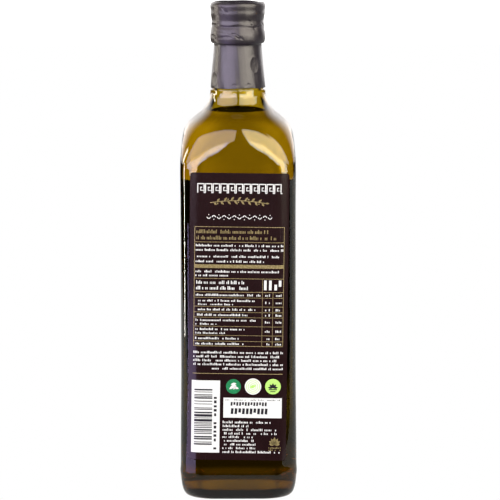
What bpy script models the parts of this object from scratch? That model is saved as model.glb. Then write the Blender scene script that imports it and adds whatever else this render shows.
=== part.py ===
import bpy
import bmesh
from math import cos, exp, hypot, pi, radians, sin, sqrt, tau

# A 750 ml olive oil bottle with a square body, shut by a shrunk-on capsule, with a label on two faces.
# The origin is under the middle of the base, the back label faces -Y and every length is in metres.

# Glass body: half widths across the flat faces, at the heights where they are reached.
waist_half = 0.03355
shoulder_half = 0.03368
heel_half = 0.03406
waist_low, waist_high = 0.089, 0.168
shoulder_start = 0.1975
body_corner = 0.0119

# Heel: the resting ring and the curve up to the body, which ends in a slight band.
ring_outer_half = 0.02940
ring_outer_corner = 0.0165
ring_width = 0.0030
heel_height = 0.0170
heel_power = 2.23
band_height = 0.0161
band_swell = 0.00028
band_reach = 0.0026
punt_rise = 0.0034
punt_reach = 0.0090

# Shoulder and flare, as two Bezier stretches that meet on the slope.
slope_half, slope_height, slope_fall = 0.02378, 0.2249, 0.75
shoulder_lift = 0.0199
shoulder_pull, flare_pull = 0.0059, 0.0040
neck_radius, neck_start = 0.01607, 0.2379
flare_lift = 0.0070
square_end, round_start = 0.1925, 0.2267

# Neck, narrowed under the capsule, and the mouth.
neck_seat_radius, neck_seat = 0.01520, 0.2392
throat_radius, throat_height = 0.01327, 0.2634
lip_height, lip_round = 0.2851, 0.0008
bore_radius = 0.0092
bore_entry = 0.0099

# Glass thickness.
wall = 0.0035
neck_wall = 0.0032
floor_height = 0.0053
floor_dome = 0.0022
floor_half = 0.0236
inner_heel_height = 0.0150

# Oil, labels and capsule.
gap = 0.0003
oil_level = 0.2282
label_width, label_corner, label_thickness = 0.0554, 0.0020, 0.00035
back_label_height, back_label_middle, back_label_turn = 0.1682, 0.1085, radians(0.9)
front_label_height, front_label_middle = 0.1600, 0.1035
capsule_bottom, capsule_top = 0.2401, 0.2899
capsule_edge_radius = 0.01594
film = 0.0004

# Points round each section of the glass, and round the turned capsule.
flat_steps, arc_steps = 2, 3
capsule_steps = 40


def clear_scene():
    for old in list(bpy.data.objects):
        bpy.data.objects.remove(old, do_unlink=True)


def material(name, colour, roughness, metallic=0.0, transmission=0.0):
    made = bpy.data.materials.new(name)
    made.use_nodes = True
    shader = made.node_tree.nodes["Principled BSDF"]
    shader.inputs["Base Color"].default_value = (*colour, 1.0)
    shader.inputs["Roughness"].default_value = roughness
    shader.inputs["Metallic"].default_value = metallic
    shader.inputs["Transmission Weight"].default_value = transmission
    made.diffuse_color = (*colour, 1.0)
    return made


def place(name, mesh, collection, look):
    piece = bpy.data.objects.new(name, mesh)
    mesh.materials.append(look)
    collection.objects.link(piece)
    return piece


def smooth_step(value):
    value = min(max(value, 0.0), 1.0)
    return value * value * (3 - 2 * value)


def bezier(start, pull, push, end, count):
    """Points of a cubic Bezier stretch, without its first one."""
    points = []
    for i in range(1, count + 1):
        t = i / count
        weights = ((1 - t) ** 3, 3 * t * (1 - t) ** 2, 3 * t * t * (1 - t), t**3)
        corners = (start, pull, push, end)
        points.append(tuple(sum(w * c[k] for w, c in zip(weights, corners)) for k in (0, 1)))
    return points


def body_half(z):
    """Half width across the flats, from the heel up to the shoulder: a slight waist between two bands."""
    below = smooth_step((z - heel_height) / (waist_low - heel_height))
    above = smooth_step((z - waist_high) / (shoulder_start - waist_high))
    half = heel_half + (waist_half - heel_half) * below + (shoulder_half - waist_half) * above
    return half + band_swell * exp(-(((z - band_height) / band_reach) ** 2))


def squareness(z):
    """1 where the section is a rounded square, 0 where it is a circle."""
    return smooth_step((round_start - z) / (round_start - square_end))


def section(half, corner, square, z):
    """A closed ring of points, blended from a circle to a rounded square of the same half width."""
    side = half - corner
    eighth = [(half, side * i / flat_steps) for i in range(flat_steps)]
    for i in range(arc_steps + 1):
        angle = pi / 4 * i / arc_steps
        eighth.append((side + corner * cos(angle), side + corner * sin(angle)))
    quarter = eighth + [(y, x) for x, y in reversed(eighth[:-1])]
    quarter.pop()
    count = len(quarter)
    ring = []
    for turn in range(4):
        for i, (x, y) in enumerate(quarter):
            angle = pi / 2 * i / count
            x = square * x + (1 - square) * half * cos(angle)
            y = square * y + (1 - square) * half * sin(angle)
            for _ in range(turn):
                x, y = -y, x
            ring.append((x, y, z))
    return ring


def heel_outline():
    """Half width, height and corner radius up the outside of the heel."""
    stations = []
    for angle in (0.0, 0.32, 0.58, 0.82, 1.05, 1.28, pi / 2):
        across = sin(angle) ** (2 / heel_power)
        rise = 1 - cos(angle) ** (2 / heel_power)
        z = heel_height * rise
        half = ring_outer_half + (heel_half - ring_outer_half) * across
        if angle > 0:
            half += band_swell * exp(-(((z - band_height) / band_reach) ** 2))
        corner = ring_outer_corner + (body_corner - ring_outer_corner) * across
        stations.append((half, z, corner))
    return stations


def shoulder_outline():
    """Half width and height of the shoulder and the flare, up to the neck."""
    start = (shoulder_half, shoulder_start)
    slope = (slope_half, slope_height)
    over = (slope_half + shoulder_pull, slope_height - slope_fall * shoulder_pull)
    under = (slope_half - flare_pull, slope_height + slope_fall * flare_pull)
    neck = (neck_radius, neck_start)
    curve = bezier(start, (shoulder_half, shoulder_start + shoulder_lift), over, slope, 8)
    return curve + bezier(slope, under, (neck_radius + 0.0002, neck_start - flare_lift), neck, 6)


def outer_stations():
    """(half, z, corner) up the whole outside of the glass below the capsule's edge."""
    stations = heel_outline()
    for z in (0.0200, 0.0320, 0.0560, waist_low, waist_high, 0.1860, shoulder_start):
        stations.append((body_half(z), z, body_corner))
    stations += [(half, z, min(body_corner, half * 0.6)) for half, z in shoulder_outline()]
    return stations


def offset_stations(stations, thickness_at):
    """The stations moved into the glass, square to the outline."""
    moved = []
    for i in range(1, len(stations) - 1):
        before, here, after = stations[i - 1], stations[i], stations[i + 1]
        along = (after[0] - before[0], after[1] - before[1])
        length = hypot(*along)
        depth = thickness_at(here[1])
        half = here[0] - depth * along[1] / length
        z = here[1] + depth * along[0] / length
        moved.append((half, z, max(here[2] - depth, 0.004)))
    return moved


def inner_stations():
    """(half, z, corner) up the inside of the glass, from the floor to the bore."""
    body = outer_stations()
    kept = offset_stations(body, lambda z: wall if z < shoulder_start else neck_wall)
    above = [s for s in kept if s[1] > inner_heel_height + 0.004]
    top_half, top_corner = above[0][0], above[0][2]
    heel = []
    for angle in (0.0, 0.4, 0.8, 1.2, pi / 2):
        across = sin(angle) ** 0.9
        rise = 1 - cos(angle)
        half = floor_half + (top_half - floor_half) * across
        z = floor_height + (inner_heel_height - floor_height) * rise
        heel.append((half, z, top_corner + 0.004 * (1 - across)))
    bore = [
        (neck_seat_radius - neck_wall, neck_seat + 0.002, 0.004),
        (bore_entry, throat_height, 0.004),
        (bore_radius, lip_height - 0.004, 0.004),
    ]
    return heel + above + bore


def rings_to_mesh(name, rings, caps):
    """Quads between neighbouring rings; caps closes the first and last ring to a point of its own."""
    mesh = bpy.data.meshes.new(name)
    work = bmesh.new()
    rows = [[work.verts.new(point) for point in ring] for ring in rings]
    count = len(rows[0])
    for low, high in zip(rows, rows[1:]):
        for i in range(count):
            j = (i + 1) % count
            work.faces.new((low[i], low[j], high[j], high[i]))
    for row, tip, flipped in caps(rows):
        middle = work.verts.new(tip)
        for i in range(count):
            j = (i + 1) % count
            work.faces.new((row[j], row[i], middle) if flipped else (row[i], row[j], middle))
    bmesh.ops.recalc_face_normals(work, faces=work.faces)
    work.to_mesh(mesh)
    work.free()
    mesh.shade_smooth()
    return mesh


def make_bottle(collection):
    rings = []
    # Underside: the punt, then the flat ring that the bottle stands on.
    ring_inner_half = ring_outer_half - ring_width
    ring_inner_corner = ring_outer_corner - ring_width
    for share in (0.35, 0.75, 1.0):
        half = ring_inner_half - punt_reach * (1 - share)
        z = punt_rise * (1 - share**2)
        rings.append(section(half, ring_inner_corner * half / ring_inner_half, 1.0, z))
    # Outside, up to the step under the capsule.
    for half, z, corner in outer_stations():
        rings.append(section(half, corner, squareness(z), z))
    # Neck under the capsule, and the lip.
    seat = neck_seat - 0.0007
    for radius, z in (
        (neck_radius, seat),
        (neck_seat_radius, neck_seat),
        (throat_radius, throat_height),
        (throat_radius, lip_height - lip_round),
        (throat_radius - lip_round, lip_height),
        (bore_radius + lip_round, lip_height),
        (bore_radius, lip_height - lip_round),
    ):
        rings.append(section(radius, radius * 0.5, 0.0, z))
    # Inside, from the bore down to the floor.
    for half, z, corner in reversed(inner_stations()):
        rings.append(section(half, corner, squareness(z), z))

    def caps(rows):
        under = (0, 0, punt_rise)
        floor = (0, 0, floor_height + floor_dome)
        return (rows[0], under, True), (rows[-1], floor, False)

    mesh = rings_to_mesh("bottle", rings, caps)
    return place("bottle", mesh, collection, material("olive glass", (0.30, 0.27, 0.06), 0.04, 0, 1.0))


def make_oil(collection):
    rings = []
    inside = inner_stations()
    moved = offset_stations([(floor_half - 0.004, floor_height, 0.01)] + inside, lambda z: gap)
    for half, z, corner in moved:
        if z + 0.0008 < oil_level:
            rings.append(section(half, max(corner, 0.004), squareness(z), z))
            last = half, z
        else:
            # The surface cuts the slope between this station and the one below it.
            share = (oil_level - last[1]) / (z - last[1])
            edge = last[0] + (half - last[0]) * share
            rings.append(section(edge, max(corner, 0.004), squareness(oil_level), oil_level))
            break

    def caps(rows):
        floor = (0, 0, floor_height + floor_dome + gap)
        return (rows[0], floor, True), (rows[-1], (0, 0, oil_level), False)

    mesh = rings_to_mesh("oil", rings, caps)
    return place("oil", mesh, collection, material("olive oil", (0.45, 0.32, 0.02), 0.02, 0, 1.0))


def on_face(along, z, out):
    """A point of the face that looks to -Y, a distance out from the glass, wrapped round the corners."""
    half = body_half(z)
    side = half - body_corner
    if abs(along) <= side:
        return along, -half - out, z
    turn = (abs(along) - side) / body_corner
    x = side + (body_corner + out) * sin(turn)
    y = -side - (body_corner + out) * cos(turn)
    return (x if along > 0 else -x), y, z


def label_columns():
    """Places across the label: close where its corners are round and where it wraps the glass."""
    half = label_width / 2
    round_part = [half, half - 0.0007, half - label_corner]
    bend = [half - 0.0041, half - 0.0062]
    right = round_part + bend
    return [-u for u in right] + [0.0] + list(reversed(right))


def label_reach(u, height):
    """Half the label's height at a place across it, shorter in its rounded corners."""
    past = abs(u) - (label_width / 2 - label_corner)
    if past <= 0:
        return height / 2
    return height / 2 - label_corner + sqrt(max(label_corner**2 - past**2, 0.0))


def make_label(name, collection, look, height, middle, turn, behind):
    rows = 8
    columns = label_columns()
    mesh = bpy.data.meshes.new(name)
    work = bmesh.new()
    grid = []
    for i in range(rows + 1):
        line = []
        for u in columns:
            v = label_reach(u, height) * (2 * i / rows - 1)
            along = u * cos(turn) + v * sin(turn)
            up = v * cos(turn) - u * sin(turn)
            line.append(work.verts.new(on_face(along, middle + up, gap)))
        grid.append(line)
    for low, high in zip(grid, grid[1:]):
        for a, b, c, d in zip(low, low[1:], high[1:], high):
            work.faces.new((a, b, c, d))
    work.normal_update()
    work.to_mesh(mesh)
    work.free()
    mesh.shade_smooth()
    piece = place(name, mesh, collection, look)
    if behind:
        piece.rotation_euler.z = pi
    shell = piece.modifiers.new("paper", "SOLIDIFY")
    shell.thickness = label_thickness
    shell.offset = 1.0
    return piece


def capsule_outline():
    """Radius and height, from the middle of the top down the outside, and up again inside."""
    top = capsule_top
    crest = [
        (0.0, top - 0.0014),
        (0.0126, top - 0.0014),
        (0.0134, top - 0.0009),
        (0.0140, top - 0.0002),
        (0.0148, top),
        (0.0157, top - 0.0007),
        (0.0161, top - 0.0020),
    ]
    # A broad groove, a slight second one under it, then the swell above the step.
    cap_side = [
        (0.01588, top - 0.0045),
        (0.01584, top - 0.0067),
        (0.01544, top - 0.0092),
        (0.01525, top - 0.0107),
        (0.01540, top - 0.0129),
        (0.01546, top - 0.0147),
        (0.01574, top - 0.0164),
        (0.01606, top - 0.0185),
        (0.01611, top - 0.0206),
        (0.01590, top - 0.0234),
        (0.01554, top - 0.0242),
    ]
    step = throat_height + 0.0018
    skirt = [
        (0.01430, step),
        (0.01398, step - 0.0007),
        (0.01398, throat_height - 0.0004),
        (0.01430, 0.2592),
        (0.01497, 0.2520),
        (0.01564, 0.2449),
        (0.01589, 0.2415),
        (capsule_edge_radius, capsule_bottom),
    ]
    inside = [
        (capsule_edge_radius - film, capsule_bottom),
        (throat_radius + gap + 0.00004, throat_height),
        (throat_radius + gap + 0.00004, lip_height + gap + 0.0001),
        (0.0, lip_height + gap + 0.0001),
    ]
    return crest + cap_side + skirt + inside


def make_capsule(collection):
    mesh = bpy.data.meshes.new("capsule")
    points = [(radius, 0.0, z) for radius, z in capsule_outline()]
    mesh.from_pydata(points, [(i, i + 1) for i in range(len(points) - 1)], [])
    look = material("shrunk capsule", (0.19, 0.16, 0.19), 0.38, 0.75)
    piece = place("capsule", mesh, collection, look)
    turned = piece.modifiers.new("turned", "SCREW")
    turned.angle = tau
    turned.steps = turned.render_steps = capsule_steps
    turned.use_merge_vertices = True
    turned.merge_threshold = 0.00005
    turned.use_smooth_shade = True
    return piece


def main():
    clear_scene()
    collection = bpy.data.collections.new("olive_oil_bottle")
    bpy.context.scene.collection.children.link(collection)
    make_bottle(collection)
    make_oil(collection)
    paper = material("printed label", (0.035, 0.010, 0.012), 0.45)
    back = (back_label_height, back_label_middle, back_label_turn)
    front = (front_label_height, front_label_middle, 0.0)
    make_label("back_label", collection, paper, *back, False)
    make_label("front_label", collection, paper, *front, True)
    make_capsule(collection)


main()
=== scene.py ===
from math import cos, degrees, exp, hypot, pi, radians, sin, sqrt, tau
from random import Random

import bmesh
import bpy
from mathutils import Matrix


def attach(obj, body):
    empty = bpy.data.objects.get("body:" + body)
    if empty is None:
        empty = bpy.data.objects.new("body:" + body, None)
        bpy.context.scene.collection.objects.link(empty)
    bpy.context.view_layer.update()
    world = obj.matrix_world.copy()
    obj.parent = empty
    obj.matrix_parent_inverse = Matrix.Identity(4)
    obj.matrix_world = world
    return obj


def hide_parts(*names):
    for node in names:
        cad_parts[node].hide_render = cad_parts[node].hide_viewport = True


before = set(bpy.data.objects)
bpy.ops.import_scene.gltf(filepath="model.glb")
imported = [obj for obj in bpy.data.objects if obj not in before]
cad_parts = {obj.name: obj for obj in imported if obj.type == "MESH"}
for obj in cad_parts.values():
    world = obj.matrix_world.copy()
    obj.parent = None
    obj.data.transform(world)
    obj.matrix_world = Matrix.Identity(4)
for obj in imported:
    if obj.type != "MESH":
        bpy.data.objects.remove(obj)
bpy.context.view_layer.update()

scene = bpy.context.scene
mm = 0.001


class Wire:
    # a node socket that takes part in plain sums
    def __init__(self, graph, socket):
        self.graph = graph
        self.socket = socket

    def other(self, name):
        return Wire(self.graph, self.socket.node.outputs[name])

    def maths(self, operation, *values):
        parts = (self, *values)
        vector = any(p.socket.type == "VECTOR" if isinstance(p, Wire) else isinstance(p, tuple) for p in parts)
        kind = "ShaderNodeVectorMath" if vector else "ShaderNodeMath"
        return self.graph.add(kind, {"operation": operation}, dict(enumerate(parts)))

    def __add__(self, other):
        return self.maths("ADD", other)

    def __radd__(self, other):
        return self.maths("ADD", other)

    def __sub__(self, other):
        return self.maths("SUBTRACT", other)

    def __rsub__(self, other):
        return self * -1 + other

    def __mul__(self, other):
        if self.socket.type == "VECTOR" and isinstance(other, (int, float)):
            other = (other, other, other)
        return self.maths("MULTIPLY", other)

    def __rmul__(self, other):
        return self * other

    def __truediv__(self, other):
        return self.maths("DIVIDE", other)

    def __rtruediv__(self, other):
        return self.maths("POWER", -1.0) * other

    def __neg__(self):
        return self * -1

    def __abs__(self):
        return self.maths("ABSOLUTE")

    def above(self, limit):
        return self.maths("GREATER_THAN", limit)

    def least(self, other):
        return self.maths("MINIMUM", other)

    def most(self, other):
        return self.maths("MAXIMUM", other)

    def span(self, low, high):
        # 0 below low, 1 above high, smooth between them
        steps = {"Value": self, "From Min": low, "From Max": high}
        return self.graph.add("ShaderNodeMapRange", {"interpolation_type": "SMOOTHSTEP"}, steps)


class Graph:
    def __init__(self, tree):
        self.tree = tree

    def add(self, kind, settings=None, sockets=None, out=0):
        node = self.tree.nodes.new(kind)
        for key, value in (settings or {}).items():
            setattr(node, key, value)
        for key, value in (sockets or {}).items():
            if isinstance(value, Wire):
                self.tree.links.new(value.socket, node.inputs[key])
            else:
                node.inputs[key].default_value = value
        return Wire(self, node.outputs[out])

    def noise(self, place, size, detail=3.0, rough=0.55, stretch=(1, 1, 1)):
        place = place * tuple(s / size for s in stretch)
        sockets = {"Vector": place, "Scale": 1.0, "Detail": detail, "Roughness": rough}
        return self.add("ShaderNodeTexNoise", None, sockets)

    def mix(self, share, first, second):
        return self.add("ShaderNodeMix", {"data_type": "RGBA"}, {0: share, 6: first, 7: second}, 2)


class Tree(Graph):
    # a geometry tree with named inputs
    def __init__(self, name, inputs):
        super().__init__(bpy.data.node_groups.new(name, "GeometryNodeTree"))
        face = self.tree.interface
        face.new_socket("Geometry", in_out="INPUT", socket_type="NodeSocketGeometry")
        for label, kind in inputs.items():
            face.new_socket(label, in_out="INPUT", socket_type="NodeSocket" + kind)
        face.new_socket("Geometry", in_out="OUTPUT", socket_type="NodeSocketGeometry")
        self.start = self.tree.nodes.new("NodeGroupInput")
        self.end = self.tree.nodes.new("NodeGroupOutput")

    def given(self, label):
        return Wire(self, self.start.outputs[label])

    def named(self, label, kind="FLOAT"):
        return self.add("GeometryNodeInputNamedAttribute", {"data_type": kind}, {"Name": label})

    def place(self):
        axes = self.add("ShaderNodeSeparateXYZ", None, {0: self.add("GeometryNodeInputPosition")})
        return axes, axes.other("Y"), axes.other("Z")

    def vector(self, x, y, z):
        return self.add("ShaderNodeCombineXYZ", None, {0: x, 1: y, 2: z})

    def random(self, low, high, seed):
        values = {2: low, 3: high, "Seed": seed}
        return self.add("FunctionNodeRandomValue", None, values, 1)

    def join(self, *parts):
        both = self.add("GeometryNodeJoinGeometry")
        for part in parts:
            self.tree.links.new(part.socket, both.socket.node.inputs[0])
        return both

    def finish(self, geometry):
        self.tree.links.new(geometry.socket, self.end.inputs[0])


def grow(name, tree, values, source):
    # runs a geometry tree on a mesh and keeps what comes out as a plain mesh
    carrier = bpy.data.objects.new(name, source)
    scene.collection.objects.link(carrier)
    modifier = carrier.modifiers.new("grow", "NODES")
    modifier.node_group = tree.tree
    for item in tree.tree.interface.items_tree:
        if item.in_out == "INPUT" and item.name in values:
            modifier[item.identifier] = values[item.name]
    depsgraph = bpy.context.evaluated_depsgraph_get()
    mesh = bpy.data.meshes.new_from_object(carrier.evaluated_get(depsgraph), depsgraph=depsgraph)
    bpy.data.objects.remove(carrier)
    mesh.name = name
    return mesh


def addPiece(name, mesh, node, look=None, smooth=True):
    piece = bpy.data.objects.new(name, mesh)
    scene.collection.objects.link(piece)
    if look:
        mesh.materials.clear()
        mesh.materials.append(look)
    if smooth:
        mesh.shade_smooth()
    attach(piece, "root")
    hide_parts(node)
    return piece


def newLook(name):
    look = bpy.data.materials.new(name)
    look.use_nodes = True
    graph = Graph(look.node_tree)
    shader = look.node_tree.nodes["Principled BSDF"]
    here = graph.add("ShaderNodeTexCoord", None, None, "Object")

    def dress(values):
        for key, value in values.items():
            if isinstance(value, Wire):
                look.node_tree.links.new(value.socket, shader.inputs[key])
            else:
                shader.inputs[key].default_value = value
    return look, graph, here, dress


# outline of the glass, in metres; pairs are half width and height
glass = {
    "waistHalf": 0.03355, "shoulderHalf": 0.03368, "heelHalf": 0.03406,
    "waistLow": 0.089, "waistHigh": 0.168, "shoulderStart": 0.1975, "corner": 0.0119,
    "ringHalf": 0.02940, "ringCorner": 0.0165, "ringWidth": 0.0030,
    "heelHeight": 0.0170, "heelPower": 2.23,
    "bandHeight": 0.0161, "bandSwell": 0.00028, "bandReach": 0.0026, "bandTop": 0.03,
    "puntRise": 0.0034, "puntReach": 0.0090,
    "slope": (0.02378, 0.2249), "slopeFall": 0.75, "shoulderLift": 0.0199,
    "shoulderPull": 0.0059, "flarePull": 0.0040, "flareLift": 0.0070,
    "neck": (0.01607, 0.2379), "squareEnd": 0.1925, "roundStart": 0.2267,
    "seat": (0.01520, 0.2396), "throat": (0.01327, 0.2634),
    "lipHeight": 0.2851, "lipRound": 0.0008, "bore": 0.0092, "boreEntry": 0.0099,
    "wall": 0.0035, "neckWall": 0.0032, "floorHeight": 0.0053, "floorDome": 0.0022,
    "floorHalf": 0.0236, "innerHeel": 0.0150, "thinStart": 0.19, "thinReach": 0.02, "leastCorner": 0.004,
    "roundness": 5,
}


def smoothStep(value):
    value = value.least(1.0).most(0.0) if isinstance(value, Wire) else min(max(value, 0.0), 1.0)
    return value * value * (3 - 2 * value)


def bezier(start, pull, push, end, count):
    points = []
    for i in range(1, count + 1):
        t = i / count
        shares = ((1 - t) ** 3, 3 * t * (1 - t) ** 2, 3 * t * t * (1 - t), t ** 3)
        points.append(tuple(sum(s * c[k] for s, c in zip(shares, (start, pull, push, end))) for k in (0, 1)))
    return points


def heelBand(z):
    return glass["bandSwell"] * exp(-((z - glass["bandHeight"]) / glass["bandReach"]) ** 2)


def plainHalf(z):
    below = smoothStep((z - glass["heelHeight"]) / (glass["waistLow"] - glass["heelHeight"]))
    above = smoothStep((z - glass["waistHigh"]) / (glass["shoulderStart"] - glass["waistHigh"]))
    fall = glass["waistHalf"] - glass["heelHalf"]
    swell = glass["shoulderHalf"] - glass["waistHalf"]
    return glass["heelHalf"] + fall * below + swell * above


def squareness(z):
    return smoothStep((glass["roundStart"] - z) / (glass["roundStart"] - glass["squareEnd"]))


def ring(half, corner, z, square=None):
    # one closed ring of points, from a circle to a rounded square
    square = squareness(z) if square is None else square
    side = half - corner
    flats, arcs = 2 * glass["roundness"], 3 * glass["roundness"]
    eighth = [(half, side * i / flats) for i in range(flats)]
    for i in range(arcs + 1):
        angle = pi / 4 * i / arcs
        eighth.append((side + corner * cos(angle), side + corner * sin(angle)))
    quarter = eighth + [(y, x) for x, y in reversed(eighth[1:-1])]
    points = []
    for turn in range(4):
        for i, (x, y) in enumerate(quarter):
            angle = pi / 2 * i / len(quarter)
            x = square * x + (1 - square) * half * cos(angle)
            y = square * y + (1 - square) * half * sin(angle)
            for _ in range(turn):
                x, y = -y, x
            points.append((x, y, z))
    return points


def outerOutline():
    outline = []
    for i in range(25):
        angle = pi / 2 * i / 24
        across = sin(angle) ** (2 / glass["heelPower"])
        z = glass["heelHeight"] * (1 - cos(angle) ** (2 / glass["heelPower"]))
        half = glass["ringHalf"] + (glass["heelHalf"] - glass["ringHalf"]) * across
        corner = glass["ringCorner"] + (glass["corner"] - glass["ringCorner"]) * across
        outline.append((half + (heelBand(z) if i else 0), z, corner))
    low, middle, high = glass["heelHeight"], glass["bandTop"], glass["shoulderStart"]
    heights = [low + (middle - low) * i / 8 for i in range(1, 9)]
    heights += [middle + (high - middle) * i / 34 for i in range(1, 35)]
    for z in heights:
        outline.append((plainHalf(z) + heelBand(z), z, glass["corner"]))
    start = (glass["shoulderHalf"], high)
    slope, fall, neck = glass["slope"], glass["slopeFall"], glass["neck"]
    over = (slope[0] + glass["shoulderPull"], slope[1] - fall * glass["shoulderPull"])
    under = (slope[0] - glass["flarePull"], slope[1] + fall * glass["flarePull"])
    curve = bezier(start, (start[0], high + glass["shoulderLift"]), over, slope, 34)
    curve += bezier(slope, under, (neck[0] + 0.0002, neck[1] - glass["flareLift"]), neck, 22)
    return outline + [(half, z, min(glass["corner"], half * 0.6)) for half, z in curve]


def moveIn(outline, depthAt):
    moved = []
    for before, here, after in zip(outline, outline[1:], outline[2:]):
        x, z = after[0] - before[0], after[1] - before[1]
        depth = depthAt(here[1]) / hypot(x, z)
        corner = max(here[2] - depth * hypot(x, z), glass["leastCorner"])
        moved.append((here[0] - depth * z, here[1] + depth * x, corner))
    return moved


def innerOutline():
    def wallAt(z):
        thinned = smoothStep((z - glass["thinStart"]) / glass["thinReach"])
        return glass["wall"] - (glass["wall"] - glass["neckWall"]) * thinned

    above = [s for s in moveIn(outerOutline(), wallAt) if s[1] > glass["innerHeel"] + 0.002]
    topHalf, z, topCorner = above[0]
    heel = []
    for i in range(15):
        angle = pi / 2 * i / 14
        across = sin(angle) ** 0.9
        half = glass["floorHalf"] + (topHalf - glass["floorHalf"]) * across
        height = glass["floorHeight"] + (z - 0.001 - glass["floorHeight"]) * (1 - cos(angle))
        heel.append((half, height, topCorner + 0.004 * (1 - across)))
    return heel + above


def skin(name, rings, firstTip, lastTip):
    # quads between the rings, and a fan to a point at each end
    mesh = bpy.data.meshes.new(name)
    work = bmesh.new()
    rows = [[work.verts.new(p) for p in points] for points in rings]
    around = len(rows[0])
    for low, high in zip(rows, rows[1:]):
        for i in range(around):
            j = (i + 1) % around
            work.faces.new((low[i], low[j], high[j], high[i]))
    first, last = work.verts.new(firstTip), work.verts.new(lastTip)
    for i in range(around):
        j = (i + 1) % around
        work.faces.new((rows[0][j], rows[0][i], first))
        work.faces.new((rows[-1][i], rows[-1][j], last))
    bmesh.ops.remove_doubles(work, verts=work.verts, dist=1e-7)
    bmesh.ops.recalc_face_normals(work, faces=work.faces)
    work.to_mesh(mesh)
    work.free()
    return mesh


# what each metre of glass or oil takes from the light is density times 1 - tint
glassLook = {"tint": (0.846, 0.757, 0.03, 1), "density": 700.0, "index": 1.5, "ripple": 0.02, "rippleSize": 0.02}
oilLook = {"tint": (0.940, 0.825, 0.20, 1), "density": 30.0, "index": 1.47, "ripple": 0.0, "rippleSize": 0.03}
oil = {"level": 0.2247, "intoWall": 0.00015, "climb": 0.0012, "climbReach": 0.0017, "climbWidth": 0.008}


def clearLook(name, values):
    look, graph, here, dress = newLook(name)
    smear = graph.noise(here, 0.018, 4, stretch=(1, 1, 0.35))
    ripple = graph.noise(here, values["rippleSize"], 2)
    bump = graph.add("ShaderNodeBump", None, {"Strength": values["ripple"], "Distance": 0.0006, "Height": ripple})
    dress({"Base Color": (1, 1, 1, 1), "Transmission Weight": 1.0, "IOR": values["index"],
           "Roughness": smear.span(0.55, 0.85) * 0.03, "Normal": bump})
    inside = graph.add("ShaderNodeVolumeAbsorption", None, {"Color": values["tint"], "Density": values["density"]})
    output = look.node_tree.nodes["Material Output"]
    look.node_tree.links.new(inside.socket, output.inputs["Volume"])
    return look


def buildGlass():
    print("glass shell")
    rings = []
    innerHalf = glass["ringHalf"] - glass["ringWidth"]
    innerCorner = glass["ringCorner"] - glass["ringWidth"]
    for i in range(1, 13):
        share = i / 12
        half = innerHalf - glass["puntReach"] * (1 - share)
        rings.append(ring(half, innerCorner * half / innerHalf, glass["puntRise"] * (1 - share ** 2), 1.0))
    for half, z, corner in outerOutline():
        rings.append(ring(half, corner, z))
    # the round part under the capsule: up the outside, over the lip and down the bore
    neck, (seatRadius, seat), (throat, throatHeight) = glass["neck"][0], glass["seat"], glass["throat"]
    lip, bead, bore = glass["lipHeight"], glass["lipRound"], glass["bore"]
    for radius, z in (
        (neck, seat - 0.0009), (neck, seat - 0.0007), (seatRadius, seat), (throat, throatHeight), (throat, lip - bead),
        (throat - bead, lip), (bore + bead, lip), (bore, lip - bead), (bore, lip - 0.004),
        (glass["boreEntry"], throatHeight), (neck - glass["neckWall"], seat + 0.002),
    ):
        rings.append(ring(radius, radius * 0.5, z, 0.0))
    for half, z, corner in reversed(innerOutline()):
        rings.append(ring(half, corner, z))
    floor = glass["floorHeight"] + glass["floorDome"]
    mesh = skin("glass_shell", rings, (0, 0, glass["puntRise"]), (0, 0, floor))
    addPiece("glass_shell", mesh, "bottle", clearLook("dark olive glass", glassLook))


def buildOil():
    print("oil")
    rings = []
    inside = innerOutline()
    inside = moveIn([(inside[0][0] - 0.004, inside[0][1], 0.01)] + inside, lambda z: -oil["intoWall"])
    top = oil["level"] + oil["climb"]
    for half, z, corner in inside:
        if z < top:
            rings.append(ring(half, corner, z))
            last = half, z, corner
        else:
            share = (top - last[1]) / (z - last[1])
            edge = last[0] + (half - last[0]) * share
            break
    for i in range(41):
        reach = oil["climbWidth"] * i / 40
        z = oil["level"] + oil["climb"] * exp(-reach / oil["climbReach"])
        rings.append(ring(edge - reach, last[2], z, squareness(top)))
    floor = glass["floorHeight"] + glass["floorDome"] - oil["intoWall"]
    mesh = skin("oil_fill", rings, (0, 0, floor), (0, 0, oil["level"]))
    addPiece("oil_fill", mesh, "oil", clearLook("olive oil", oilLook))


capsule = {
    "bottom": 0.2401, "top": 0.2899, "edgeRadius": 0.01594, "film": 0.0004,
    "around": 288, "seed": 11,
    # the left tone is a painted brownish reflection on the left side of the film, not its own colour
    "tones": ((0.020, 0.014, 0.020, 1), (0.030, 0.022, 0.030, 1)), "paintedLeftReflection": (0.034, 0.021, 0.013, 1),
    # angle from the front in degrees, height, half width in degrees, half height, depth
    "dents": [
        (41, 0.2537, 12, 0.0045, 0.00022), (-62, 0.2455, 12, 0.004, 0.0003), (130, 0.252, 20, 0.005, 0.0004),
    ],
    # from one angle to another, from one height to another, width, depth
    "creases": [
        (-75, -12, 0.2702, 0.2698, 0.0006, 0.00040), (-12, 12, 0.2716, 0.2684, 0.0005, 0.00026),
        (-95, 14, 0.2766, 0.2757, 0.0008, 0.00042), (14, 75, 0.2752, 0.2762, 0.0009, 0.00026),
        (22, 34, 0.2806, 0.2768, 0.0005, 0.00028), (30, 42, 0.2776, 0.2742, 0.0004, 0.00024),
        (-22, 10, 0.2730, 0.2702, 0.0004, 0.00018), (-55, -25, 0.2742, 0.2724, 0.0004, 0.00016),
        (-38, -20, 0.2872, 0.2836, 0.0006, 0.0003), (60, 100, 0.279, 0.272, 0.0006, 0.00025),
        (150, 215, 0.2698, 0.2690, 0.0006, 0.00035), (118, 140, 0.2822, 0.2758, 0.0005, 0.0003),
        (-150, -120, 0.2740, 0.2700, 0.0005, 0.0003), (-14, 2, 0.2418, 0.2432, 0.0004, 0.00016),
        (16, 30, 0.2420, 0.2428, 0.0004, 0.00018),
    ],
}


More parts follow.
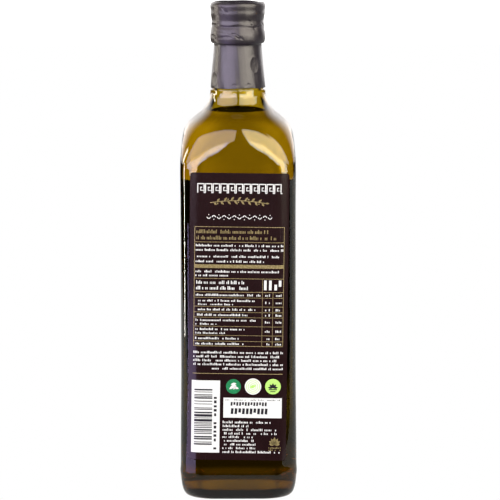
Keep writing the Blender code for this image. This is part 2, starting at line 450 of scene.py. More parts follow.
def capsuleOutline():
    top, step = capsule["top"], glass["throat"][1] + 0.0018
    corners = [
        (0.0126, top - 0.0014), (0.0134, top - 0.0009), (0.0140, top - 0.0002), (0.0148, top), (0.0157, top - 0.0007),
        (0.0161, top - 0.0020), (0.01588, top - 0.0045), (0.01584, top - 0.0067), (0.01544, top - 0.0092),
        (0.01525, top - 0.0107), (0.01540, top - 0.0129), (0.01546, top - 0.0147), (0.01574, top - 0.0164),
        (0.01606, top - 0.0185), (0.01609, top - 0.0206), (0.01592, top - 0.0222), (0.01545, top - 0.0236),
        (0.01420, step + 0.0005), (0.01396, step + 0.0001), (0.01394, glass["throat"][1] + 0.0004), (0.01430, 0.2592),
        (0.01497, 0.2520), (0.01564, 0.2449), (0.01589, 0.2415), (capsule["edgeRadius"], capsule["bottom"]),
    ]
    # a smooth curve through the corners, with points about 0.3 mm apart
    curve = []
    for i in range(len(corners) - 1):
        a, b, c, d = (corners[min(max(i + k, 0), len(corners) - 1)] for k in (-1, 0, 1, 2))
        count = max(2, int(hypot(c[0] - b[0], c[1] - b[1]) / 0.0003))
        for k in range(count):
            t = k / count
            curve.append(tuple(
                0.5 * (2 * b[n] + (c[n] - a[n]) * t + (2 * a[n] - 5 * b[n] + 4 * c[n] - d[n]) * t * t
                       + (3 * b[n] - a[n] - 3 * c[n] + d[n]) * t ** 3) for n in (0, 1)))
    return curve + [corners[-1]]


def capsuleWrinkle(angle, z, ripples):
    push = 0.0
    for at, height, wide, tall, depth in capsule["dents"]:
        turn = (degrees(angle) - at + 180) % 360 - 180
        reach = sqrt((turn / wide) ** 2 + ((z - height) / tall) ** 2)
        push -= depth * (exp(-(reach / 0.75) ** 4) - 0.55 * exp(-((reach - 1.05) / 0.16) ** 2))
    for start, end, low, high, width, depth in capsule["creases"]:
        share = ((degrees(angle) - start) % 360) / (end - start)
        if share < 1:
            line = low + (high - low) * share + 0.0004 * sin(9 * share + start)
            push -= depth * sin(pi * share) ** 0.6 * exp(-((z - line) / width) ** 2)
    edge = exp(-(z - capsule["bottom"]) / 0.0022)
    for count, phase, size in ripples:
        push += size * sin(count * angle + phase + 260 * z) * (0.35 + 0.9 * edge)
    return push


def filmLook():
    look, graph, here, dress = newLook("aubergine film")
    grain = graph.noise(here, 0.0007, 2)
    cloud = graph.noise(here, 0.012, 4)
    pits = graph.add("ShaderNodeTexVoronoi", None, {"Vector": here, "Scale": 700.0})
    folds = graph.noise(here, 0.004, 3, stretch=(1, 1, 2))
    relief = cloud * 0.5 + grain * 0.08 + pits.span(0.0, 0.3) * 0.1 + folds * 0.4
    tone = graph.mix(cloud.span(0.35, 0.7), *capsule["tones"])
    across = graph.add("ShaderNodeSeparateXYZ", None, {0: here})
    # the left side is tinted brown: a painted reflection, not the film's own colour
    tone = graph.mix((-across).span(0.0085, 0.0125) * 0.8, tone, capsule["paintedLeftReflection"])
    bump = graph.add("ShaderNodeBump", None, {"Strength": 0.30, "Distance": 0.0005, "Height": relief})
    dress({"Base Color": tone, "Metallic": 0.25, "Roughness": 0.28 + cloud * 0.12, "Normal": bump})
    return look


def buildCapsule():
    print("capsule")
    rng = Random(capsule["seed"])
    ripples = [(count, rng.uniform(0, tau), 0.00016 / sqrt(count)) for count in (3, 7, 11, 17, 26, 41)]
    around = capsule["around"]
    rings = []
    for radius, z in capsuleOutline():
        points = []
        for i in range(around):
            angle = tau * i / around
            # the crest and the lower edge wander a little
            lift = 0.00022 * sin(2 * angle + 1.0) + 0.00014 * sin(5 * angle + 0.3)
            share = smoothStep((z - 0.2865) / 0.002) + smoothStep((0.2440 - z) / 0.004)
            r = radius + capsuleWrinkle(angle, z, ripples)
            points.append((r * sin(angle), -r * cos(angle), z + lift * share))
        rings.append(points)
    # down the inside, close to the glass
    film = capsule["film"]
    throat, lip = glass["throat"][0] + film, glass["lipHeight"] + film
    edge = (capsule["edgeRadius"] - film, capsule["bottom"] + 0.0002)
    for radius, z in (edge, (throat, glass["throat"][1]), (throat, lip)):
        rings.append([(radius * sin(tau * i / around), -radius * cos(tau * i / around), z) for i in range(around)])
    mesh = skin("capsule_film", rings, (0, 0, capsule["top"] - 0.0014), (0, 0, lip))
    addPiece("capsule_film", mesh, "capsule", filmLook())


# labels and print are laid out flat, the print in millimetres, and then wrapped round the glass
sheet = {
    "width": 0.0581, "corner": 0.0020, "lift": 0.05 * mm, "thickness": 0.20 * mm,
    "tones": ((0.0150, 0.0046, 0.0055, 1), (0.0190, 0.0062, 0.0073, 1)), "wornTone": (0.16, 0.12, 0.12, 1),
}
backLabel = {"height": 0.1688, "middle": 0.1087, "turn": radians(0.9), "facing": 1.0}
frontLabel = {"height": 0.1600, "middle": 0.1035, "turn": 0.0, "facing": -1.0}
ink = {
    "lift": 0.21 * mm, "thickness": 0.08 * mm, "layer": 0.03 * mm, "pitch": 0.86 * mm, "gaps": 0.19,
    "wideBlock": 0.012, "wideCuts": 49, "cuts": 9,
}
wrapInputs = {"Facing": "Float", "Middle": "Float", "Turn": "Float", "Lift": "Float", "Thickness": "Float"}


def buildWrap():
    # bends flat geometry, x across and y up, round one face of the glass
    tree = Tree("wrapOnFace", wrapInputs)
    u, v, w = tree.place()
    turn, facing = tree.given("Turn"), tree.given("Facing")
    cosine, sine = turn.maths("COSINE"), turn.maths("SINE")
    along = u * cosine + v * sine
    z = tree.given("Middle") + v * cosine - u * sine
    side = plainHalf(z) - glass["corner"]
    out = tree.given("Lift") + tree.given("Thickness") * w.above(0.0) + tree.named("layer") + glass["corner"]
    bend = (abs(along) - side).most(0.0) / glass["corner"]
    x = along.maths("SIGN") * (abs(along).least(side) + out * bend.maths("SINE"))
    y = -side - out * bend.maths("COSINE")
    spot = tree.vector(x * facing, y * facing, z)
    tree.finish(tree.add("GeometryNodeSetPosition", None, {"Geometry": tree.given("Geometry"), "Position": spot}))
    return tree


def wrapWith(tree, wrap, geometry):
    values = {label: tree.given(label) for label in wrapInputs}
    return tree.add("GeometryNodeGroup", {"node_tree": wrap.tree}, {"Geometry": geometry, **values})


def buildSheetTree(wrap):
    inputs = {"Width": "Float", "Height": "Float", "Corner": "Float", "Face": "Material", "Edge": "Material"}
    tree = Tree("labelSheet", {**inputs, **wrapInputs})
    width, height, corner = tree.given("Width"), tree.given("Height"), tree.given("Corner")
    flat = tree.add("GeometryNodeMeshGrid", None, {"Size X": width, "Size Y": height, "Vertices X": 201, "Vertices Y": 85})
    x, y, z = tree.place()
    past = (abs(x) - width / 2 + corner).most(0.0)
    reach = height / 2 - corner + (corner * corner - past * past).most(0.0).maths("SQRT")
    rounded = tree.vector(x, y * reach / (height / 2), 0.0)
    flat = tree.add("GeometryNodeSetPosition", None, {"Geometry": flat, "Position": rounded})
    solid = tree.add("GeometryNodeExtrudeMesh", None, {"Mesh": flat, "Offset Scale": 0.001, "Individual": False})
    back = tree.add("GeometryNodeFlipFaces", None, {"Mesh": flat})
    closed = tree.add("GeometryNodeMergeByDistance", None, {"Geometry": tree.join(solid, back), "Distance": 1e-6})
    real = tree.add("GeometryNodeRealizeInstances", None, {"Geometry": wrapWith(tree, wrap, closed)})
    faced = tree.add("GeometryNodeSetMaterial", None, {"Geometry": real, "Material": tree.given("Face")})
    rim = {"Geometry": faced, "Selection": solid.other("Side"), "Material": tree.given("Edge")}
    tree.finish(tree.add("GeometryNodeSetMaterial", None, rim))
    return tree


def buildInkTree(wrap):
    # kind 0 strokes along edges, 1 blocks, 2 rows of small marks along edges, 3 discs, 4 leaves
    inputs = {"Pitch": "Float", "Gaps": "Float", "Seed": "Int", "Cuts": "Int", "Ink": "Material"}
    tree = Tree("printedInk", {**inputs, **wrapInputs})
    kind = tree.named("kind", "INT")
    size = tree.vector(tree.named("wide"), tree.named("tall"), 0.001)
    lean = tree.add("FunctionNodeEulerToRotation", None, {0: tree.vector(0.0, 0.0, tree.named("lean"))})

    def only(number):
        same = tree.add("FunctionNodeCompare", {"data_type": "INT", "operation": "EQUAL"}, {2: kind, 3: number})
        return tree.add("GeometryNodeSeparateGeometry", None, {"Geometry": tree.given("Geometry"), "Selection": same})

    def stamped(points, shape, scale, turn):
        sockets = {"Points": points, "Instance": shape, "Rotation": turn, "Scale": scale}
        return tree.add("GeometryNodeInstanceOnPoints", None, sockets)

    pen = tree.add("GeometryNodeCurvePrimitiveQuadrilateral", None, {"Width": 1.0, "Height": 1.0})
    lines = tree.add("GeometryNodeMeshToCurve", None, {"Mesh": only(0)})
    lines = tree.add("GeometryNodeSetCurveNormal", {"mode": "Z_UP"}, {"Curve": lines})
    pull = {"Curve": lines, "Profile Curve": pen, "Scale": tree.named("wide"), "Fill Caps": True}
    strokes = tree.add("GeometryNodeCurveToMesh", None, pull)
    block = {"Size": (1, 1, 1), "Vertices X": tree.given("Cuts"), "Vertices Y": 17}
    block = tree.add("GeometryNodeMeshCube", None, block)
    disc = tree.add("GeometryNodeMeshCylinder", None, {"Vertices": 40, "Fill Segments": 5, "Radius": 0.5, "Depth": 1.0})
    x, y, z = tree.place()
    pointed = tree.vector(x, y * (1.15 - 4 * x * x).most(0.0), z)
    leaf = tree.add("GeometryNodeSetPosition", None, {"Geometry": disc, "Position": pointed})
    rows = tree.add("GeometryNodeMeshToCurve", None, {"Mesh": only(2)})
    rows = tree.add("GeometryNodeResampleCurve", {"mode": "LENGTH"}, {"Curve": rows, "Length": tree.given("Pitch")})
    rows = tree.add("GeometryNodeCurveToPoints", {"mode": "EVALUATED"}, {"Curve": rows})
    seed = tree.given("Seed")
    isGap = tree.random(0.0, 1.0, seed).maths("LESS_THAN", tree.given("Gaps"))
    rows = tree.add("GeometryNodeDeleteGeometry", {"domain": "POINT"}, {"Geometry": rows, "Selection": isGap})
    tall = tree.named("tall") * (0.66 + 0.34 * tree.random(0.0, 1.0, seed + 1).above(0.68))
    drop = tree.vector(0.0, (tall - tree.named("tall")) * 0.5, 0.0)
    rows = tree.add("GeometryNodeSetPosition", None, {"Geometry": rows, "Offset": drop})
    dash = tree.add("GeometryNodeMeshCube", None, {"Size": (1, 1, 1)})
    dashSize = tree.vector(tree.given("Pitch") * tree.random(0.42, 0.80, seed + 2), tall, 0.001)
    marks = stamped(rows, dash, dashSize, lean)

    blocks, discs, leaves = (stamped(only(k), shape, size, lean) for k, shape in ((1, block), (3, disc), (4, leaf)))
    real = tree.add("GeometryNodeRealizeInstances", None, {"Geometry": tree.join(strokes, blocks, marks, discs, leaves)})
    real = tree.add("GeometryNodeMergeByDistance", None, {"Geometry": real, "Distance": 1e-7})
    wrapped = wrapWith(tree, wrap, real)
    tree.finish(tree.add("GeometryNodeSetMaterial", None, {"Geometry": wrapped, "Material": tree.given("Ink")}))
    return tree


def placed(label, layer):
    return {"Facing": label["facing"], "Middle": label["middle"], "Turn": label["turn"],
            "Lift": layer["lift"], "Thickness": layer["thickness"]}


class Print:
    # one colour of ink, laid out flat in millimetres from the middle of the label
    def __init__(self):
        self.points, self.edges = [], []
        self.data = {"kind": [], "wide": [], "tall": [], "lean": [], "layer": []}

    def spot(self, kind, x, y, wide, tall, lean=0.0, layer=0):
        self.points.append((x * mm, y * mm, 0.0))
        for key, value in zip(self.data, (kind, wide * mm, tall * mm, radians(lean), layer * ink["layer"])):
            self.data[key].append(value)
        return len(self.points) - 1

    def stroke(self, corners, pen=0.35, layer=0, step=1.4):
        last = None
        for a, b in zip(corners, corners[1:]):
            count = max(1, int(hypot(b[0] - a[0], b[1] - a[1]) / step + 0.5))
            for i in range(0 if last is None else 1, count + 1):
                t = i / count
                here = self.spot(0, a[0] + (b[0] - a[0]) * t, a[1] + (b[1] - a[1]) * t, pen, pen, 0, layer)
                if last is not None:
                    self.edges.append((last, here))
                last = here

    def row(self, left, right, y, tall, layer=0):
        a, b = self.spot(2, left, y, tall, tall, 0, layer), self.spot(2, right, y, tall, tall, 0, layer)
        self.edges.append((a, b))

    def block(self, left, right, low, high, lean=0.0, layer=0):
        self.spot(1, (left + right) / 2, (low + high) / 2, right - left, high - low, lean, layer)

    def disc(self, x, y, radius, layer=0):
        self.spot(3, x, y, 2 * radius, 2 * radius, 0, layer)

    def leaf(self, x, y, length, width, lean, layer=0):
        # x and y are where the leaf joins its stem
        turn = radians(lean)
        self.spot(4, x + length / 2 * cos(turn), y + length / 2 * sin(turn), length, width, lean, layer)

    def build(self, name, tree, label, node, look, seed):
        mesh = bpy.data.meshes.new(name)
        mesh.from_pydata(self.points, self.edges, [])
        for key, values in self.data.items():
            kind = "INT" if key == "kind" else "FLOAT"
            mesh.attributes.new(key, kind, "POINT").data.foreach_set("value", values)
        cuts = ink["wideCuts"] if max(self.data["wide"]) > ink["wideBlock"] else ink["cuts"]
        values = {"Pitch": ink["pitch"], "Gaps": ink["gaps"], "Seed": seed, "Cuts": cuts, "Ink": look,
                  **placed(label, ink)}
        addPiece(name, grow(name, tree, values, mesh), node, smooth=False)


# name, two tones, metallic and roughness of each ink
inkLooks = {
    "white": ("white ink", (0.80, 0.79, 0.78), (0.86, 0.85, 0.84), 0.0, 0.2),
    "gold": ("gold ink", (0.27, 0.205, 0.085), (0.34, 0.262, 0.115), 0.2, 0.22),
    "dark": ("black ink", (0.018, 0.015, 0.022), (0.030, 0.026, 0.034), 0.0, 0.2),
    "green": ("green ink", (0.010, 0.20, 0.07), (0.018, 0.27, 0.10), 0.0, 0.2),
    "lime": ("lime ink", (0.46, 0.78, 0.16), (0.54, 0.86, 0.20), 0.0, 0.2),
    "edge": ("cut paper edge", (0.035, 0.022, 0.022), (0.055, 0.036, 0.036), 0.0, 0.2),
}


def inkLook(name, colour, second, metallic, roughness):
    look, graph, here, dress = newLook(name)
    fine = graph.noise(here, 0.0011, 4)
    tone = graph.mix(fine.span(0.35, 0.7), (*colour, 1), (*second, 1))
    bump = graph.add("ShaderNodeBump", None, {"Strength": 0.12, "Distance": 0.0001, "Height": fine})
    dress({"Base Color": tone, "Metallic": metallic, "Roughness": roughness + fine * 0.10, "Normal": bump})
    return look


def paperLook():
    look, graph, here, dress = newLook("plum coated paper")
    fibre = graph.noise(here, 0.0009, 4, stretch=(1, 1, 0.5))
    cloud = graph.noise(here, 0.02, 3)
    scratch = graph.noise(here, 0.0016, 2, stretch=(1, 1, 0.045))
    worn = scratch.span(0.70, 0.78) * cloud.span(0.45, 0.7)
    tone = graph.mix(cloud.span(0.3, 0.75), *sheet["tones"])
    tone = graph.mix(worn * 0.35, tone, sheet["wornTone"])
    bump = graph.add("ShaderNodeBump", None, {"Strength": 0.10, "Distance": 0.0002, "Height": fibre})
    dress({"Base Color": tone, "Roughness": 0.13 + fibre * 0.08, "Normal": bump})
    return look


def meander(art, left, right, middle, tall, units, pen):
    # one running key pattern, turned in on itself in each unit
    step = (right - left) / units
    low, high = middle - tall / 2, middle + tall / 2
    corners = [(left, low)]
    for i in range(units):
        x = left + i * step
        inner = step * 0.18
        corners += [(x, high), (x + step - inner, high), (x + step - inner, low + tall * 0.26),
                    (x + step * 0.36, low + tall * 0.26), (x + step * 0.36, low + tall * 0.60),
                    (x + step * 0.56, low + tall * 0.60)]
        art.stroke(corners, pen)
        corners = [(x + step - inner, low + tall * 0.26), (x + step - inner, low), (x + step, low)]
    art.stroke(corners, pen)


def sprig(art, x0, x1, middle, bow, count, size, pen=0.4, layer=0):
    # a bowed stem with leaves on both sides and small fruit
    places = []
    for i in range(count + 1):
        t = i / count
        places.append((x0 + (x1 - x0) * t, middle + bow * sin(pi * t) - bow / 2))
    art.stroke(places, pen, layer, 0.8)
    for i, (x, y) in enumerate(places[1:-1]):
        near = 0.75 + 0.25 * sin(pi * (i + 1) / count)
        slant = degrees(bow * pi / (x1 - x0) * cos(pi * (i + 1) / count))
        art.leaf(x, y, size * near, size * 0.34, slant + (48 if i % 2 else -48), layer)
        if i % 3 == 1:
            art.disc(x + 0.4, y + (-1 if i % 2 else 1) * size * 0.32, size * 0.13, layer)
    art.leaf(*places[-1], size * 0.8, size * 0.3, 0, layer)


def ruleBox(art, left, right, low, high, pen):
    art.stroke([(left, high), (right, high), (right, low), (left, low), (left, high)], pen)


def backPrint(tree, looks):
    white, gold, dark, green, lime = (Print() for _ in range(5))

    # white key band, gold sprig, a row of small waves
    meander(white, -24.4, 24.4, 75.4, 5.2, 11, 0.62)
    sprig(gold, -17.2, 14.6, 67.7, 1.4, 16, 3.0, 0.42)
    for i in range(13):
        x = -19.0 + i * 2.95
        swing = 1 if i % 2 else -1
        wave = [(x + 0.25 * k, 58.7 + swing * 0.9 * sin(k / 9 * pi)) for k in range(10)]
        white.stroke(wave, 0.42, 0, 0.6)
        white.disc(x + 1.1, 58.7 - swing * 1.35, 0.26)

    # gold table
    left, right = -25.8, 26.0
    ruleBox(gold, left, right, -16.9, 53.0, 0.34)
    for y in (44.1, 22.8, 14.9):
        gold.stroke([(left, y), (right, y)], 0.30)
    for y in (11.6, 6.4, 3.05, 0.0, -5.3, -10.6, -14.05):
        gold.stroke([(left, y), (right, y)], 0.24)
    gold.block(left, right, 28.9, 31.0)
    gold.stroke([(13.8, 22.8), (13.8, -16.9)], 0.26)
    gold.stroke([(19.9, 14.9), (19.9, -16.9)], 0.26)
    gold.row(-24.6, 17.1, 50.3, 2.2)
    gold.row(-24.6, 21.0, 46.7, 2.2)
    gold.stroke([(-26.2, -33.2), (26.1, -33.2)], 0.34)

    # rows of small marks: from, to, height of the row, height of a mark
    for start, end, y, tall in (
        (-24.9, 25.2, 42.2, 1.45), (-24.9, 25.2, 39.6, 1.5), (-24.9, 22.7, 35.8, 1.45), (-24.9, 14.1, 32.9, 1.45),
        (-24.9, 22.8, 27.0, 1.5), (-24.9, -6.6, 24.7, 1.45), (-24.4, 2.7, 20.6, 2.2), (-24.4, 5.0, 17.3, 2.2),
        (-24.6, 12.3, 13.2, 1.4), (-23.2, 9.9, 9.9, 1.35), (-23.2, -3.5, 7.7, 1.2), (-23.2, 9.5, 4.7, 1.4),
        (-24.6, 5.0, 1.5, 1.4), (-24.6, 9.7, -1.6, 1.4), (-24.6, -13.0, -3.9, 1.2), (-24.6, 3.4, -6.9, 1.4),
        (-24.6, -8.0, -9.2, 1.2), (-24.6, 0.0, -12.3, 1.4), (-24.6, 2.8, -15.5, 1.4),
        (-25.6, 25.9, -20.6, 1.5), (-25.6, 23.6, -23.0, 1.5), (-25.6, 23.0, -25.3, 1.5),
        (-25.6, 25.9, -27.6, 1.5), (-14.7, 25.9, -30.1, 1.4),
        (-8.0, 20.2, -61.8, 1.6), (-8.0, 7.4, -64.1, 1.5), (-8.0, 22.6, -66.3, 1.5), (-8.0, 23.0, -68.5, 1.5),
        (-8.0, 9.0, -70.6, 1.4), (-8.0, 9.6, -72.8, 1.4), (-8.0, 10.8, -75.0, 1.4), (-8.0, 10.6, -77.2, 1.4),
        (-8.0, 24.8, -79.5, 1.5),
    ):
        white.row(start, end, y, tall * 0.9)
    for y in (13.2, 8.9, 4.6, 1.5, -2.6, -8.0, -12.3, -15.5):
        white.row(15.8, 17.9, y, 1.3)
        white.row(21.9, 24.6, y, 1.3)
    # tally bars in the table
    for x, low, high in ((15.4, 16.3, 22.0), (18.3, 16.3, 22.0), (21.4, 16.3, 19.6), (23.9, 18.4, 22.0)):
        white.block(x - 0.75, x + 0.75, low, high)

    # white panel with random stripes
    white.block(-26.7, -10.1, -80.1, -37.3)
    rng = Random(5)
    y = -42.4
    while y > -75.0:
        bar = rng.choice((0.4, 0.5, 0.9, 1.5))
        dark.block(-25.0, -14.5, y - bar, y, 0, 1)
        y -= bar + rng.choice((0.35, 0.5, 0.7, 1.2, 1.9))
    for i in range(13):
        if i not in (1, 7):
            low = -78.2 + 2.5 * i
            dark.block(-13.6, -11.9, low, low + 1.2 + 0.3 * (i % 2), 90 * (i % 3 == 2), 1)

    # three discs with leaves
    green.disc(-2.3, -40.7, 4.35)
    for x, y, length, width, lean in ((-4.8, -42.4, 4.6, 1.5, 38), (-3.9, -39.6, 3.4, 1.3, 12),
                                      (-2.3, -42.6, 3.3, 1.2, 62), (-2.2, -41.0, 3.2, 1.2, -18)):
        white.leaf(x, y, length, width, lean, 1)
    white.disc(9.1, -40.6, 4.8)
    for i in range(3):
        radius = 3.9 - 1.1 * i
        circle = [(9.1 + radius * cos(tau * k / 36), -40.6 + radius * sin(tau * k / 36)) for k in range(37)]
        lime.stroke(circle, 0.34, 1, 0.9)
    lime.leaf(7.2, -41.2, 3.8, 1.6, 18, 1)
    lime.disc(20.7, -40.5, 4.55)
    for lean in (8, 50, 90, 130, 172):
        dark.leaf(20.7, -41.4, 3.0, 1.1, lean, 1)
    dark.block(18.3, 23.1, -42.6, -42.0, 0, 1)
    dark.block(19.2, 22.2, -43.7, -43.2, 0, 1)

    # white panel with two rows of leaning dashes
    white.block(-8.0, 26.0, -59.2, -47.4)
    dark.row(-6.6, 24.6, -48.6, 0.7, 1)
    for i in range(13):
        dark.block(-3.8 + 1.66 * i, -2.7 + 1.66 * i, -52.1 + 0.5 * (i % 3 == 1), -49.9, -4, 1)
    for i in range(10):
        dark.block(-3.6 + 2.2 * i, -2.1 + 2.2 * i, -57.0 + 0.9 * (i % 4 == 2), -53.6, -4, 1)

    # small tree of leaves at the corner
    for lean, length in ((90, 4.6), (62, 4.2), (118, 4.2), (34, 3.8), (146, 3.8), (8, 3.2), (172, 3.2)):
        gold.leaf(22.1, -75.0, length, 1.5, lean)
    gold.row(18.9, 25.4, -76.9, 0.9)
    gold.row(18.9, 25.4, -78.2, 0.9)

    inks = {"white": white, "gold": gold, "dark": dark, "green": green, "lime": lime}
    for i, (colour, art) in enumerate(inks.items()):
        art.build("back_print_" + colour, tree, backLabel, "back_label", looks[colour], 3 + 7 * i)


def frontPrint(tree, looks):
    white, gold = Print(), Print()
    meander(white, -24.4, 24.4, 66.0, 5.2, 11, 0.62)
    ruleBox(gold, -25.6, 25.6, -77.0, 76.6, 0.4)
    ruleBox(gold, -24.4, 24.4, -75.8, 75.4, 0.24)
    # a large branch on the middle of the face
    sprig(gold, -20.0, 15.5, 26.0, 16.0, 15, 9.0, 0.8)
    sprig(gold, -15.0, 12.0, 1.0, -7.0, 11, 6.0, 0.6)
    meander(white, -18.0, 18.0, -22.0, 4.0, 10, 0.5)
    for half, y, tall in ((19, -32.0, 2.4), (15, -36.5, 2.0), (17, -52.0, 1.5), (14, -55.0, 1.5), (16, -58.0, 1.5)):
        white.row(-half, half, y, tall)
    gold.stroke([(-12, -44.0), (12, -44.0)], 0.34)
    gold.block(-20.0, 20.0, -69.6, -64.0)
    for i, (colour, art) in enumerate({"white": white, "gold": gold}.items()):
        art.build("front_print_" + colour, tree, frontLabel, "front_label", looks[colour], 50 + i)


def buildLabels():
    print("labels")
    wrap = buildWrap()
    sheetTree, inkTree = buildSheetTree(wrap), buildInkTree(wrap)
    paper = paperLook()
    looks = {key: inkLook(*values) for key, values in inkLooks.items()}
    for node, label in (("back_label", backLabel), ("front_label", frontLabel)):
        name = node + "_sheet"
        values = {"Width": sheet["width"], "Height": label["height"], "Corner": sheet["corner"],
                  "Face": paper, "Edge": looks["edge"], **placed(label, sheet)}
        piece = addPiece(name, grow(name, sheetTree, values, bpy.data.meshes.new(name)), node)
        piece.data.set_sharp_from_angle(angle=radians(40))
    backPrint(inkTree, looks)
    frontPrint(inkTree, looks)


studio = {
    # light boxes: the azimuth that each faces and how far away it is, its left, right, low and high edges,
    # its radiance and colour; the two with a lean are narrow and only mirrored
    "boxes": [
        {"azimuth": 20, "away": 0.8, "left": -0.20, "right": 0.80, "low": 0.50, "high": 1.24,
         "glow": 4.9, "colour": (0.97, 0.92, 0.74)},
        {"azimuth": 20, "away": 0.8, "left": 0.80, "right": 1.75, "low": 0.50, "high": 1.55,
         "glow": 4.9, "colour": (0.97, 0.92, 0.74)},
        {"azimuth": 20, "away": 0.8, "left": -0.20, "right": 0.92, "low": 0.26, "high": 0.50,
         "glow": 8.0, "colour": (1.0, 0.97, 0.78)},
        {"azimuth": 20, "away": 0.8, "left": 0.22, "right": 0.92, "low": 0.145, "high": 0.26,
         "glow": 8.0, "colour": (1.0, 0.97, 0.78)},
        {"azimuth": -40, "away": 0.8, "left": -1.10, "right": 0.62, "low": 0.48, "high": 1.32,
         "glow": 3.0, "colour": (0.90, 0.82, 0.94)},
        {"azimuth": -40, "away": 0.8, "left": -0.75, "right": 0.56, "low": 0.25, "high": 0.48,
         "glow": 7.2, "colour": (0.84, 0.80, 1.0)},
        {"azimuth": -40, "away": 0.8, "left": -0.39, "right": 0.20, "low": 0.145, "high": 0.25,
         "glow": 6.0, "colour": (0.95, 0.85, 1.0)},
        {"azimuth": -103, "away": 0.57, "left": -0.028, "right": 0.028, "low": 0.0, "high": 0.27,
         "glow": 15.0, "colour": (1.0, 0.97, 0.90), "lean": 0.0},
        {"azimuth": -112, "away": 0.57, "left": -0.028, "right": 0.028, "low": 0.22, "high": 0.47,
         "glow": 11.0, "colour": (1.0, 0.97, 0.84), "lean": 28.0},
    ],
    "ambient": (1.70, 1.68, 1.66), "floorReach": 4.0,
    "screenAway": 0.75, "screenWide": 0.45, "screenHigh": 0.9, "wingGlow": 0.8, "wingHeights": (0.165, 0.29),
    "wingPlan": ((0.45, 0.75), (1.0, 0.45), (1.1, -0.25)),
    "greyPlan": ((-0.63, 3), (-0.63, -0.04), (-0.25, -0.05), (-0.20, -0.10), (-0.11, -0.15), (-0.03, -0.08),
                 (0.03, -0.08), (0.11, -0.15), (0.20, -0.10), (0.30, -0.05), (2, -0.03), (2, 3)),
    "grey": (0.96, 0.97, 0.92), "greyGlow": 0.62,
    # azimuth and distance of each corner
    "lilacPlan": ((-31, 0.125), (-31, 0.665), (-54, 0.70), (-71, 0.665), (-72, 1.25), (-81, 1.25), (-81, 0.125)),
    "lilac": (0.68, 0.55, 1.0), "lilacGlow": 2.6, "back": (1.0, 0.97, 0.96), "backGlow": 3.1,
}


def stageMesh(name, corners, colour, glow, hidden=(), shade=None, faces=None):
    mesh = bpy.data.meshes.new(name)
    mesh.from_pydata(corners, [], faces or [tuple(range(len(corners)))])
    look, graph, here, dress = newLook(name)
    colour = graph.mix(shade(graph, here), (0, 0, 0, 1), (*colour, 1)) if shade else (*colour, 1)
    dress({"Base Color": (0, 0, 0, 1), "Roughness": 1.0, "Specular IOR Level": 0.0,
           "Emission Color": colour, "Emission Strength": glow})
    mesh.materials.append(look)
    piece = bpy.data.objects.new(name, mesh)
    scene.collection.objects.link(piece)
    for way in hidden:
        setattr(piece, "visible_" + way, False)


def tableShade(graph, here):
    # the table seen through the bottle: a painted caustic glow close behind it, painted shadow of the bottle around
    # that, paler far off and to both sides
    x = graph.add("ShaderNodeSeparateXYZ", None, {0: here})
    away = graph.add("ShaderNodeVectorMath", {"operation": "LENGTH"}, {0: here}, 1)
    side = x / away
    # painted pool of light close behind the bottle, standing in for the caustic through the oil
    paintedCaustic = 1 - away.span(0.072, 0.098)
    far = away.span(0.14, 0.40) * (1 - 0.8 * away.span(1.0, 1.4))
    far = far * (1 - abs(x).span(0.33, 0.48))
    return 0.03 + 0.12 * paintedCaustic + far * (0.46 + 0.65 * side.span(0.03, 0.30) + 0.35 * (-side).span(0.03, 0.25))


def screenShade(graph, here):
    # the screen seen through the bottle: paler towards both sides, dim above the oil
    x = graph.add("ShaderNodeSeparateXYZ", None, {0: here})
    upper = x.other("Z").span(0.25, 0.29)
    return (0.48 + 0.36 * x.span(0.01, 0.05) + 0.26 * (-x).span(0.0, 0.04)) * (1 - 0.92 * upper)


def rimShade(graph, here):
    # white light behind the bottle, fading upwards and towards the sides
    x = graph.add("ShaderNodeSeparateXYZ", None, {0: here})
    y, z = x.other("Y"), x.other("Z")
    reach = (x * x + y * y).maths("SQRT")
    back = y / reach
    sides = back.span(0.44, 0.86) * (1 - 0.45 * back.span(0.9, 0.99))
    above = 1 - ((z - 0.21) / reach).span(0.45, 1.15)
    below = (0.2 - z).span(0.0, 0.02) * (1 - 0.6 * back.span(0.93, 0.985))
    return sides * above * (1 - below)


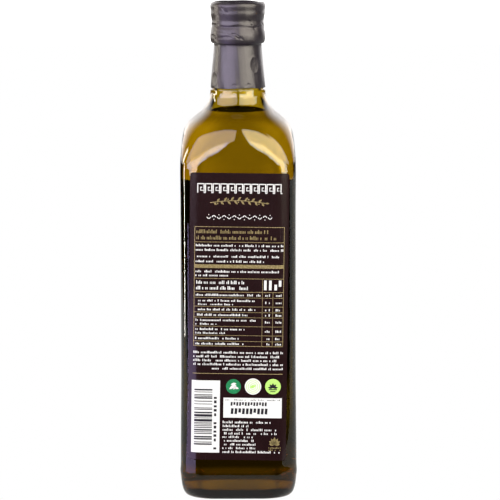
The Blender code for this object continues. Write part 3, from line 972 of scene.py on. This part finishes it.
def buildStudio():
    print("studio")
    white, wide, away = (1, 1, 1), studio["screenWide"], studio["screenAway"]
    onlyThrough, onlyMirrored = ("glossy", "diffuse", "camera"), ("transmission", "diffuse", "camera")
    square = [(x * studio["floorReach"], y * studio["floorReach"]) for x, y in ((-1, -1), (1, -1), (1, 1), (-1, 1))]
    stageMesh("pale_floor", [(x, y, 0) for x, y in square], white, 1.0, ("glossy", "transmission"))
    # what shows through the bottle
    stageMesh("far_table", [(x, y, -0.002) for x, y in square], white, 1.0, onlyThrough, tableShade)
    high = studio["screenHigh"]
    corners = [(-wide, away, 0.0), (wide, away, 0.0), (wide, away, high), (-wide, away, high)]
    stageMesh("white_screen", corners, white, 1.0, onlyThrough, screenShade)
    for side, name in ((-1, "left_wing"), (1, "right_wing")):
        corners = [(side * x, y, z) for z in studio["wingHeights"] for x, y in studio["wingPlan"]]
        stageMesh(name, corners, white, studio["wingGlow"], onlyThrough, None, [(0, 1, 4, 3), (1, 2, 5, 4)])
    # what the bottle mirrors
    corners = [(x, y, -0.001) for x, y in studio["greyPlan"]]
    stageMesh("grey_table", corners, studio["grey"], studio["greyGlow"], onlyMirrored)
    turns = [radians(105 + 15 * i) for i in range(11)]
    corners = [(sin(a), -cos(a), z) for z in (0.2, 2.4, 0.0) for a in turns]
    faces = [(i, i + 1, i + 12, i + 11) for i in range(10)] + [(i + 22, i + 23, i + 1, i) for i in (4, 5)]
    stageMesh("back_glow", corners, studio["back"], studio["backGlow"], onlyMirrored, rimShade, faces)
    corners = [(sin(radians(a)) * r, -cos(radians(a)) * r, 0.001) for a, r in studio["lilacPlan"]]
    stageMesh("lilac_table", corners, studio["lilac"], studio["lilacGlow"], onlyMirrored)
    for i, box in enumerate(studio["boxes"]):
        light = bpy.data.lights.new("light_box_%d" % i, "AREA")
        light.shape = "RECTANGLE"
        light.size, light.size_y = box["right"] - box["left"], box["high"] - box["low"]
        light.energy = 4 * light.size * light.size_y * box["glow"]
        light.color = box["colour"]
        lamp = bpy.data.objects.new(light.name, light)
        turn, shift = radians(box["azimuth"]), (box["left"] + box["right"]) / 2
        lamp.location = (sin(turn) * box["away"] + cos(turn) * shift, -cos(turn) * box["away"] + sin(turn) * shift,
                         (box["low"] + box["high"]) / 2)
        lamp.rotation_euler = (pi / 2, radians(box.get("lean", 0.0)), turn)
        lamp.visible_transmission = "lean" not in box
        lamp.visible_diffuse = False
        scene.collection.objects.link(lamp)
    world = bpy.data.worlds.new("dim room")
    world.use_nodes = True
    world.node_tree.nodes["Background"].inputs["Color"].default_value = (*studio["ambient"], 1)
    scene.world = world
    world.cycles_visibility.glossy = world.cycles_visibility.transmission = False
    scene.view_settings.view_transform = "Standard"


# distance and height of the camera's aim in metres, its angles in degrees, the lens in millimetres
view = {"away": 1.584, "lift": 8.0, "aim": 0.1485, "lens": 192.97, "shift": (0.0252, -0.0168), "roll": 0.12}


def buildCamera():
    camera = bpy.data.cameras.new("camera")
    camera.lens, camera.sensor_width = view["lens"], 36
    camera.shift_x, camera.shift_y = view["shift"]
    camera.clip_start, camera.clip_end = 0.1, 20
    eye = bpy.data.objects.new("camera", camera)
    lift = radians(view["lift"])
    eye.location = (0, -view["away"] * cos(lift), view["aim"] + view["away"] * sin(lift))
    eye.rotation_euler = (pi / 2 - lift, radians(view["roll"]), 0)
    scene.collection.objects.link(eye)
    scene.camera = eye


buildGlass()
buildOil()
buildCapsule()
buildLabels()
buildStudio()
buildCamera()
